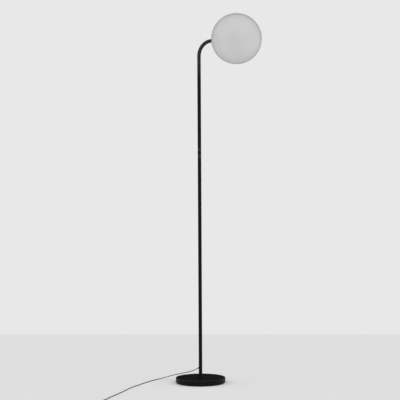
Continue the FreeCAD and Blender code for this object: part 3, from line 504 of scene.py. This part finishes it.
@dataclass(frozen=True)
class CircuitBoard(Finish):
    """Solder mask over copper tracks."""

    track: float = 0.0009

    def tint(self, graph: Graph) -> bpy.types.NodeSocket:
        """Mask colour, lighter over the tracks, with bright pads.

        Args:
            graph: The material's graph.

        Returns:
            The colour's socket.
        """
        inputs = {"Vector": graph.place, "Scale": 0.35 / self.track, "Distortion": 3.5, "Detail": 0.0}
        waves = graph.add("TexWave", inputs).outputs["Fac"]
        tracks = graph.span(waves, 0.0, 1.0, 0.47, 0.53)
        lighter = tuple(min(1.0, 1.6 * c + 0.01) for c in self.colour)
        mask = graph.mix(tracks, self.colour, lighter)
        pads = graph.span(graph.cells(3.5 * self.track), 1.0, 0.0, 0.16, 0.19)
        return graph.mix(pads, mask, (0.62, 0.58, 0.45))


@dataclass(frozen=True)
class ChipBoard(Finish):
    """White board whose raised chips have yellow phosphor faces."""

    chip_from: float = 0.24

    def tint(self, graph: Graph) -> bpy.types.NodeSocket:
        """White below the chips' faces, phosphor yellow on them.

        Args:
            graph: The material's graph.

        Returns:
            The colour's socket.
        """
        along = graph.add("SeparateXYZ", {0: graph.place}).outputs[0]
        face = graph.span(along, 0.0, 1.0, self.chip_from, self.chip_from + 0.0001)
        return graph.mix(face, super().tint(graph), (0.83, 0.66, 0.16))


# the black coat carries painted highlights on the foot's rounded top edge and on the top of the pole and the
# bend
BLACK_COAT = Finish(
    "satin_black_coat", (0.0060, 0.0060, 0.0062), 0.42, Grain.PEEL, 0.00045, 0.000012, specular=0.07,
    dust=0.005, pale_edge=0.027, pale_top=0.030)
BLACK_ANODISED = Finish(
    "black_anodised", (0.019, 0.019, 0.0195), 0.34, Grain.TURNED, 0.00016, 0.000006, metal=0.4, shade=0.08,
    specular=0.3)
FINISHES: dict[str, Finish] = {
    "foam": Finish("foam_sheet", (0.030, 0.030, 0.031), 0.85, Grain.FOAM, 0.0007, 0.00012, shade=0.2),
    "black_coat": BLACK_COAT,
    "cast_iron": Finish("cast_weight", (0.075, 0.073, 0.070), 0.62, Grain.CAST, 0.0016, 0.00030, metal=0.6),
    "zinc_steel": Finish(
        "zinc_plated_steel", (0.62, 0.63, 0.62), 0.28, Grain.TURNED, 0.00022, 0.000008, metal=1.0, shade=0.08,
        cloud=0.006),
    "black_lead": Finish(
        "lead_sheath", (0.006, 0.006, 0.0062), 0.45, Grain.SMOOTH, 0.0002, 0.00001, shade=0.15, cloud=0.012,
        specular=0.2),
    "black_anodised": BLACK_ANODISED,
    "white_plastic": Finish("acetal", (0.80, 0.80, 0.77), 0.38, Grain.TURNED, 0.0002, 0.000005, shade=0.03),
    "circuit_board": CircuitBoard(
        "circuit_board", (0.012, 0.120, 0.045), 0.35, Grain.SMOOTH, 0.0003, 0.00002),
    "magnet": Finish("sintered_magnet", (0.10, 0.10, 0.105), 0.45, Grain.CAST, 0.0003, 0.00002, metal=0.8),
    "rubber": Finish("friction_rubber", (0.022, 0.022, 0.022), 0.75, Grain.SPARK, 0.0003, 0.00002),
    "black_knurled": Finish(
        "knurled_black", (0.004, 0.004, 0.0042), 0.50, Grain.TURNED, 0.0002, 0.000006, metal=0.0, shade=0.1,
        specular=0.15),
    "clear_silicone": Frosted(
        "silicone_seal", (0.70, 0.70, 0.68), 0.45, Grain.SMOOTH, 0.0003, 0.00001, shade=0.04, through=0.45),
    "opal_glass": OpalGlass("opal_glass", (0.91, 0.91, 0.91), 0.25, shade=0.008, cloud=0.06, specular=0.0),
    "spring_steel": Finish(
        "spring_strip", (0.56, 0.56, 0.57), 0.25, Grain.DRAWN, 0.0002, 0.000006, metal=1.0, shade=0.06),
    "black_sink": Finish(
        "anodised_sink", (0.030, 0.030, 0.031), 0.42, Grain.TURNED, 0.0003, 0.00001, metal=0.4, shade=0.05),
    "white_board": ChipBoard(
        "chip_board", (0.82, 0.82, 0.80), 0.45, Grain.SMOOTH, shade=0.02, chip_from=0.2221),
    "diffuser": Frosted(
        "frosted_diffuser", (0.86, 0.86, 0.84), 0.5, Grain.SPARK, 0.0003, 0.00001, shade=0.02, through=0.5),
    "black_rubber": Finish("moulded_rubber", (0.014, 0.014, 0.0145), 0.55, Grain.SPARK, 0.00035, 0.000015),
    "black_tie": WovenTape(
        "woven_tie", (0.020, 0.020, 0.021), 0.80, grain_depth=0.0002, shade=0.25, cloud=0.004),
    "black_plastic": Finish(
        "moulded_black", (0.016, 0.016, 0.0165), 0.48, Grain.SPARK, 0.00045, 0.000022, shade=0.1),
    "nickel": Finish(
        "nickel_pins", (0.70, 0.67, 0.60), 0.16, Grain.SMOOTH, metal=1.0, shade=0.06, cloud=0.004),
}
ARM_PIECES = (
    "arm_insert", "globe_cap", "globe_gasket", "clip_rivets", "cap_washer", "cap_nut", "led_stem",
    "led_heatsink", "led_board", "board_screws", "led_dome",
)


class Wardrobe:
    """Makes each finish once, for the axis it is needed about, and puts it on pieces."""

    def __init__(self) -> None:
        """Starts with nothing made."""
        self.made: dict[tuple[str, Axis], bpy.types.Material] = {}

    def material(self, slot: str, axis: Axis = Axis.POLE) -> bpy.types.Material:
        """The material of a record's slot.

        Args:
            slot: The slot's name in the record.
            axis: The axis that its lathe lines go round.

        Returns:
            The material.
        """
        if (slot, axis) not in self.made:
            finish = FINISHES[slot]
            values = {name: getattr(finish, name) for name in finish.__dataclass_fields__}
            values.update(axis=axis, name=f"{finish.name}_{axis.value}")
            self.made[slot, axis] = type(finish)(**values).build()
        return self.made[slot, axis]

    def dress(self, piece: bpy.types.Object, slot: str, axis: Axis = Axis.POLE) -> None:
        """Puts a finish on the whole of a piece.

        Args:
            piece: The object.
            slot: The slot's name in the record.
            axis: The axis that its lathe lines go round.
        """
        piece.data.materials.clear()
        piece.data.materials.append(self.material(slot, axis))

    def dress_nodes(self) -> None:
        """Dresses every carried-over piece by its slot in the record."""
        for entry in frame["record"]["subparts"]:
            name, slot = entry["node"], entry["material_slot"]
            axis = Axis.ARM if name in ARM_PIECES else Axis.POLE
            node = frame["nodes"][name]
            for place in node.material_slots:
                place.material = self.material(slot, axis)
            log.info("dressed %s in %s", name, slot)


# ---------------------------------------------------------------- meshes
def new_piece(name: str, data: bpy.types.ID) -> bpy.types.Object:
    """Puts new data in the scene as a piece.

    Args:
        name: The piece's name.
        data: Its mesh, curve or other data.

    Returns:
        The object.
    """
    piece = bpy.data.objects.new(name, data)
    bpy.context.scene.collection.objects.link(piece)
    return piece


def mesh_of(name: str, rows: list[list[Vector]], closed: bool, looped: bool = False) -> bpy.types.Mesh:
    """A smooth skin over rows of points.

    Args:
        name: The mesh's name.
        rows: Rows with the same number of points each.
        closed: Whether each row closes on itself.
        looped: Whether the last row joins the first.

    Returns:
        The mesh.
    """
    wide = len(rows[0])
    points = [tuple(p) for row in rows for p in row]
    faces = []
    for i in range(len(rows) if looped else len(rows) - 1):
        for j in range(wide if closed else wide - 1):
            k, below = (j + 1) % wide, (i + 1) % len(rows) * wide
            faces.append((i * wide + j, i * wide + k, below + k, below + j))
    mesh = bpy.data.meshes.new(name)
    mesh.from_pydata(points, [], faces)
    mesh.update()
    mesh.polygons.foreach_set("use_smooth", [True] * len(mesh.polygons))
    return mesh


# ---------------------------------------------------------------- studio
@dataclass
class Camera:
    """The camera at the photograph's place: level, far off and with a long lens."""

    bearing: float = 30.0
    distance: float = 5.768
    height: float = 0.922
    lens: float = 102.87
    roll: float = 0.29
    aside: float = 0.0016
    sensor: float = 36.0
    nearest: float = 0.05
    farthest: float = 80.0

    def away(self) -> Vector:
        """The level direction that the camera looks in."""
        a = math.radians(self.bearing)
        return Vector((-math.sin(a), math.cos(a), 0.0))

    def rightward(self) -> Vector:
        """The level direction to the picture's right."""
        a = math.radians(self.bearing)
        return Vector((math.cos(a), math.sin(a), 0.0))

    def build(self) -> bpy.types.Object:
        """Makes the camera and gives it to the scene.

        Returns:
            The camera object.
        """
        data = bpy.data.cameras.new("view_camera")
        data.lens, data.sensor_width = self.lens, self.sensor
        data.clip_start, data.clip_end = self.nearest, self.farthest
        camera = new_piece("view_camera", data)
        away, right = self.away(), self.rightward()
        tilt = math.radians(self.roll)
        up = Vector((0, 0, 1)) * math.cos(tilt) + right * math.sin(tilt)
        side = away.cross(up)
        turn = Matrix((side, up, -away)).transposed()
        camera.location = -away * self.distance + Vector((0, 0, self.height)) + right * self.aside
        camera.rotation_euler = turn.to_euler()
        bpy.context.scene.camera = camera
        return camera


@dataclass(frozen=True)
class SoftSky:
    """Soft light from all round, weaker overhead, and dim in a patch low down behind the lamp."""

    full: float = 1.19
    overhead: float = 0.60
    dim: float = 0.04
    dim_inside: float = -0.90
    full_outside: float = -0.65
    lift: float = 14.0

    def build(self, tree: bpy.types.NodeTree, camera: Camera) -> bpy.types.Node:
        """Adds the light's background to a world's tree.

        Args:
            tree: The world's node tree.
            camera: The camera whose direction places the dim patch.

        Returns:
            The background node.
        """
        rise = math.radians(self.lift)
        front = -camera.away() * math.cos(rise) - Vector((0, 0, 1)) * math.sin(rise)
        way = tree.nodes.new("ShaderNodeTexCoord")
        dot = tree.nodes.new("ShaderNodeVectorMath")
        dot.operation = "DOT_PRODUCT"
        dot.inputs[1].default_value = front
        ramp = tree.nodes.new("ShaderNodeMapRange")
        ramp.interpolation_type = "SMOOTHSTEP"
        for place, value in enumerate((self.dim_inside, self.full_outside, self.dim, self.full), 1):
            ramp.inputs[place].default_value = value
        height = tree.nodes.new("ShaderNodeSeparateXYZ")
        fall = tree.nodes.new("ShaderNodeMapRange")
        for place, value in enumerate((0.0, 1.0, 1.0, self.overhead), 1):
            fall.inputs[place].default_value = value
        strength = tree.nodes.new("ShaderNodeMath")
        strength.operation = "MULTIPLY"
        light = tree.nodes.new("ShaderNodeBackground")
        light.inputs["Color"].default_value = (1.0, 1.0, 1.0, 1.0)
        for source, target in (
            (way.outputs["Generated"], dot.inputs[0]), (dot.outputs["Value"], ramp.inputs[0]),
            (way.outputs["Generated"], height.inputs[0]), (height.outputs[2], fall.inputs[0]),
            (ramp.outputs[0], strength.inputs[0]), (fall.outputs[0], strength.inputs[1]),
            (strength.outputs[0], light.inputs["Strength"]),
        ):
            tree.links.new(source, target)
        return light


@dataclass
class Studio:
    """Plain pale floor that ends at a pale backdrop, and soft light all round."""

    camera: Camera
    sky: SoftSky = SoftSky()
    floor_tone: float = 0.99
    backdrop: float = 0.807
    floor_end: float = 2.067
    end_slope: float = -0.0383
    reach: float = 16.0

    def build_floor(self) -> None:
        """A flat floor, its far edge where the picture's wall starts."""
        right, away = self.camera.rightward(), self.camera.away()

        def corner(aside: float, beyond: float) -> Vector:
            """A floor point by its place right of and beyond the pole."""
            return right * aside + away * beyond

        far = [corner(s * self.reach, self.floor_end + self.end_slope * s * self.reach) for s in (-1, 1)]
        near = [corner(s * self.reach, -self.reach) for s in (-1, 1)]
        mesh = mesh_of("studio_floor", [near, far], closed=False)
        floor = new_piece("studio_floor", mesh)
        paint = Finish(
            "floor_paint", (self.floor_tone,) * 3, 0.8, Grain.PEEL, 0.004, 0.00002, shade=0.004, cloud=0.4,
            specular=0.05)
        mesh.materials.append(paint.build())

    def build_world(self) -> None:
        """Pale backdrop for the eye and the soft light."""
        world = bpy.data.worlds.new("studio_world")
        bpy.context.scene.world = world
        world.use_nodes = True
        tree = world.node_tree
        tree.nodes.clear()
        seen = tree.nodes.new("ShaderNodeBackground")
        seen.inputs["Color"].default_value = (self.backdrop,) * 3 + (1.0,)
        lit = self.sky.build(tree, self.camera)
        rays = tree.nodes.new("ShaderNodeLightPath")
        mix = tree.nodes.new("ShaderNodeMixShader")
        output = tree.nodes.new("ShaderNodeOutputWorld")
        tree.links.new(rays.outputs["Is Camera Ray"], mix.inputs[0])
        tree.links.new(lit.outputs[0], mix.inputs[1])
        tree.links.new(seen.outputs[0], mix.inputs[2])
        tree.links.new(mix.outputs[0], output.inputs[0])

    def build(self) -> None:
        """Makes the floor and the world."""
        bpy.context.scene.view_settings.view_transform = "Standard"
        self.build_floor()
        self.build_world()
        log.info("set up the floor and the soft light")


# ---------------------------------------------------------------- supply lead
@dataclass
class StoredCoil:
    """The lead that is put away: two layers of turns, wound in and back out."""

    centre: Point = (-0.088, -0.775, 0.0)
    outer: float = 0.0265
    turns: float = 5.25
    pitch: float = 0.0041
    climb: float = 0.5
    start: float = 191.5
    low: float = 0.0029
    exit_run: float = 0.014
    points_per_turn: int = 16

    def point(self, turn: float, swell: float = 1.0) -> Vector:
        """A point of the coil's line.

        Args:
            turn: How many turns along it is.
            swell: A factor on the radius.

        Returns:
            The point.
        """
        half_way = (self.turns + 0.25) / 2
        r = swell * (self.outer - self.pitch * (half_way - abs(turn - half_way)))
        climb = min(max((turn - half_way) / self.climb + 0.5, 0.0), 1.0)
        angle = math.radians(self.start) + 2 * math.pi * turn
        flat = Vector((math.cos(angle), math.sin(angle), 0.0)) * r
        eased = climb * climb * (3 - 2 * climb)
        return Vector(self.centre) + flat + Vector((0, 0, self.low + self.pitch * eased))

    def heading(self, turn: float) -> Vector:
        """The level direction of the coil's line.

        Args:
            turn: How many turns along it is.

        Returns:
            The direction.
        """
        way = self.point(turn + 0.02) - self.point(turn - 0.02)
        way.z = 0
        return way.normalized()

    def control_points(self) -> list[Vector]:
        """The spline's points for the turns and the straight end.

        Returns:
            The points, a little outside the line that they draw.
        """
        swell = 1 / math.cos(math.pi / self.points_per_turn)
        count = round(self.turns * self.points_per_turn)
        turns = [k / self.points_per_turn for k in range(count + 1)]
        shares = [min(1.0, 2 * t, 2 * (self.turns - t) + 0.2) for t in turns]
        points = [self.point(t, 1 + (swell - 1) * share) for t, share in zip(turns, shares)]
        return points + [self.point(self.turns) + self.heading(self.turns) * self.exit_run]


@dataclass
class SupplyLead:
    """The low-voltage lead: down from the pole, along the floor and round its stored coil."""

    diameter: float = 0.0036
    length: float = 1.706
    relief_root: Point = (-0.0097, 0.0, 0.075)
    droop: float = 28.0
    relief_tail: float = 0.013
    lead_out: float = 0.0135
    floor: float = 0.0019
    run_in: float = 0.042
    run_in_aside: float = -0.0012
    last_run: float = 0.020
    coil: StoredCoil = field(default_factory=StoredCoil)
    air_route: tuple[Point, ...] = (
        (-0.054, 0.0006, 0.0546), (-0.083, -0.0004, 0.0466), (-0.117, -0.0006, 0.038),
        (-0.150, 0.0008, 0.030), (-0.182, 0.0024, 0.0208), (-0.211, 0.0016, 0.0114),
        (-0.234, -0.008, 0.0046),
    )
    floor_route: tuple[tuple[float, float], ...] = (
        (-0.246, -0.033), (-0.2465, -0.072), (-0.243, -0.120), (-0.2385, -0.170), (-0.230, -0.220),
        (-0.2255, -0.270), (-0.2155, -0.321), (-0.203, -0.371), (-0.1885, -0.423), (-0.176, -0.476),
        (-0.165, -0.528), (-0.1545, -0.581), (-0.141, -0.633), (-0.131, -0.682),
    )

    def tip(self) -> Vector:
        """Where the lead leaves its strain relief."""
        return Vector(self.relief_root) + self.droop_way() * self.relief_tail

    def droop_way(self) -> Vector:
        """The direction that the strain relief points in."""
        a = math.radians(self.droop)
        return Vector((-math.cos(a), 0.0, -math.sin(a)))

    def route(self) -> list[Vector]:
        """All the spline's points, from the strain relief to the adapter.

        Returns:
            The points in order.
        """
        way = self.coil.heading(0.0)
        join = self.coil.point(0.0) - way * self.diameter
        points = [self.tip(), self.tip() + self.droop_way() * self.lead_out]
        points += [Vector(p) for p in self.air_route]
        points += [Vector((x, y, self.floor)) for x, y in self.floor_route]
        points.append(join - way * self.run_in + Vector((self.run_in_aside, 0, self.floor - join.z)))
        points.append(join - way * self.last_run)
        return points + self.coil.control_points()

    def build(self, wardrobe: Wardrobe, pieces_on_it: list[bpy.types.Object]) -> bpy.types.Object:
        """Args:
            wardrobe: Where its finish comes from.
            pieces_on_it: The tie, the relief and the adapter's pieces; not used.

        Returns:
            The lead.
        """
        curve = bpy.data.curves.new("lead_cable", "CURVE")
        curve.dimensions = "3D"
        curve.bevel_depth = self.diameter / 2
        curve.bevel_resolution = 4
        curve.resolution_u = 8
        spline = curve.splines.new("NURBS")
        route = self.route()
        spline.points.add(len(route) - 1)
        for place, point in zip(spline.points, route):
            place.co = (*point, 1.0)
        spline.order_u = 3
        spline.use_endpoint_u = True
        lead = new_piece("lead_cable", curve)
        wardrobe.dress(lead, "black_lead")
        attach(lead, STAND)
        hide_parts("supply_cord", "cord_coil")
        log.info("laid %s with %d points", lead.name, len(route))
        return lead


@dataclass
class CoilTie:
    """Woven tie round the coil's bundle: a snug loop whose end laps over the top."""

    centre: Point = (-0.088, -0.775, 0.0)
    angle: float = 60.0
    inner: float = 0.011725
    outer: float = 0.0294
    height: float = 0.0099
    thick: float = 0.0008
    width: float = 0.007
    corner: float = 0.0022
    lap: float = 0.0115
    lap_behind: float = 0.35
    lap_rows: int = 10
    dip: float = 0.0004
    dip_width: float = 0.013
    edge: float = 0.00022
    crown: float = 1.04
    clear: float = 0.00004
    tip_rise: float = 0.0003
    tip_from: float = 0.85
    end_share: float = 0.86
    shut_share: float = 0.02
    corner_steps: int = 6

    def loop_line(self) -> list[tuple[Vector, Vector]]:
        """The middle line of the loop, with the outward direction at each point.

        Returns:
            Pairs of point and direction, in the loop's own plane.
        """
        inset = self.thick / 2
        half_wide = (self.outer - self.inner) / 2 - inset
        half_tall = self.height / 2 - inset
        r = self.corner
        pairs = []
        corners = ((1, 1, 0), (-1, 1, 90), (-1, -1, 180), (1, -1, 270))
        for right, up, start in corners:
            middle = Vector((right * (half_wide - r), up * (half_tall - r)))
            for k in range(self.corner_steps + 1):
                a = math.radians(start + 90 / self.corner_steps * k)
                out = Vector((math.cos(a), math.sin(a)))
                pairs.append((middle + out * r, out))
            if right * up > 0:
                across = -right * (half_wide - r) - middle.x
                for share in (0.25, 0.5, 0.75):
                    x = middle.x + across * share
                    dip = self.dip * math.sin(math.pi * share)
                    pairs.append((Vector((x, up * (half_tall - dip))), Vector((0, up))))
        return pairs

    def placed(self, flat: Vector, aside: float) -> Vector:
        """A point of the loop in the lamp's frame.

        Args:
            flat: The point in the loop's plane, from its middle.
            aside: The distance along the coil's turns.

        Returns:
            The point.
        """
        local = Vector(((self.inner + self.outer) / 2 + flat.x, aside, self.height / 2 + flat.y))
        turned = Matrix.Rotation(math.radians(self.angle), 3, "Z") @ local
        return Vector(self.centre) + turned

    def section(self, point: Vector, out: Vector, lift: float = 0.0) -> list[Vector]:
        """The tape's cross-section at a point of its line.

        Args:
            point: The point in the loop's plane.
            out: The outward direction there.
            lift: How far it lies outside the loop.

        Returns:
            The section's corners, its edges a little rounded.
        """
        half, edge = self.width / 2, self.edge
        thick = self.thick / 2
        corners = [
            (-half + edge, thick), (0.0, thick * self.crown), (half - edge, thick), (half, thick - edge),
            (half, edge - thick), (half - edge, -thick), (0.0, -thick), (edge - half, -thick),
            (-half, edge - thick), (-half, thick - edge),
        ]
        return [self.placed(point + out * (lift + across), aside) for aside, across in corners]

    def shrunk(self, row: list[Vector], share: float) -> list[Vector]:
        """A section drawn in towards its middle.

        Args:
            row: The section's corners.
            share: How much of its size is kept.

        Returns:
            The smaller section's corners.
        """
        middle = sum(row, Vector()) / len(row)
        return [middle + (p - middle) * share for p in row]

    def build(self, wardrobe: Wardrobe) -> list[bpy.types.Object]:
        """Makes the loop and its lapped end.

        Args:
            wardrobe: Where the finish comes from.

        Returns:
            The two pieces.
        """
        line = self.loop_line()
        rows = [self.section(point, out) for point, out in line]
        loop = new_piece("tie_loop", mesh_of("tie_loop", rows, True, looped=True))
        top = self.height / 2 - self.thick / 2
        lapped = []
        for k in range(self.lap_rows + 1):
            share = k / self.lap_rows
            x = self.lap * (share - self.lap_behind)
            sag = self.dip * math.sin(math.pi * min(1.0, max(0.0, 0.5 + x / self.dip_width)))
            rise = self.tip_rise * max(0.0, share - self.tip_from) / (1 - self.tip_from)
            row = self.section(Vector((x, top - sag)), Vector((0, 1)), self.thick + self.clear + rise)
            if k in (0, self.lap_rows):
                row = self.shrunk(row, self.end_share)
                shut = self.shrunk(row, self.shut_share)
                lapped += [row, shut] if k else [shut, row]
            else:
                lapped.append(row)
        end = new_piece("tie_end", mesh_of("tie_end", lapped, True))
        for piece in (loop, end):
            wardrobe.dress(piece, "black_tie")
            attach(piece, STAND)
        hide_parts("cord_tie")
        log.info("tied the coil with %s and %s", loop.name, end.name)
        return [loop, end]


# ---------------------------------------------------------------- globe
@dataclass
class BlownGlobe:
    """The opal ball: even wall, fire-polished edge at the hole that takes the cap."""

    centre: Point = (ARM_REACH, 0.0, ARM_HEIGHT)
    radius: float = 0.125
    wall: float = 0.003
    hole_radius: float = 0.030
    edge_round: float = 0.0007
    edge_bevel: float = 0.3
    rows: int = 96
    around: int = 144

    def profile(self) -> list[tuple[float, float]]:
        """The wall's outline as (distance along the arm, distance from its axis).

        Returns:
            The outline, from the far pole outside to the far pole inside.
        """
        inner_r, hole, edge = self.radius - self.wall, self.hole_radius, self.edge_round
        start = math.asin((hole + edge) / self.radius)
        line = []
        for k in range(self.rows + 1):
            a = math.pi - (math.pi - start) * (k / self.rows)
            line.append((-self.radius * math.cos(a), self.radius * math.sin(a)))
        outside = -math.sqrt(self.radius ** 2 - hole ** 2)
        inside = -math.sqrt(inner_r ** 2 - hole ** 2)
        bevel = self.edge_bevel * edge
        line += [(outside + bevel, hole + bevel), (outside + edge, hole), (inside - edge, hole)]
        line += [(inside - bevel, hole + bevel)]
        start = math.asin((hole + edge) / inner_r)
        for k in range(self.rows + 1):
            a = start + (math.pi - start) * (k / self.rows)
            line.append((-inner_r * math.cos(a), inner_r * math.sin(a)))
        return line

    def build(self, wardrobe: Wardrobe) -> bpy.types.Object:
        """Makes the globe in place of its plain solid.

        Args:
            wardrobe: Where the finish comes from.

        Returns:
            The globe.
        """
        centre, rows = Vector(self.centre), []
        for along, out in self.profile():
            out = max(out, AT_AXIS)
            ring = []
            for j in range(self.around):
                a = 2 * math.pi * j / self.around
                ring.append(centre + Vector((along, out * math.cos(a), out * math.sin(a))))
            rows.append(ring)
        globe = new_piece("blown_globe", mesh_of("blown_globe", rows, True))
        wardrobe.dress(globe, "opal_glass", Axis.ARM)
        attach(globe, STAND)
        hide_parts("globe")
        log.info("blew %s", globe.name)
        return globe


def main() -> None:
    """Builds the camera, the lead, the dressed pieces and the studio, in that order."""
    logging.basicConfig(level=logging.INFO, format="%(message)s")
    camera = Camera()
    camera.build()
    wardrobe = Wardrobe()
    tie = CoilTie().build(wardrobe)
    on_the_lead = [
        "cord_relief", "adapter_relief", "adapter_shell", "adapter_cap", "plug_pins", "adapter_board",
    ]
    SupplyLead().build(wardrobe, tie + [frame["nodes"][name] for name in on_the_lead])
    wardrobe.dress_nodes()
    BlownGlobe().build(wardrobe)
    Studio(camera).build()
    log.info("sizes written")


if __name__ == "__main__":
    main()
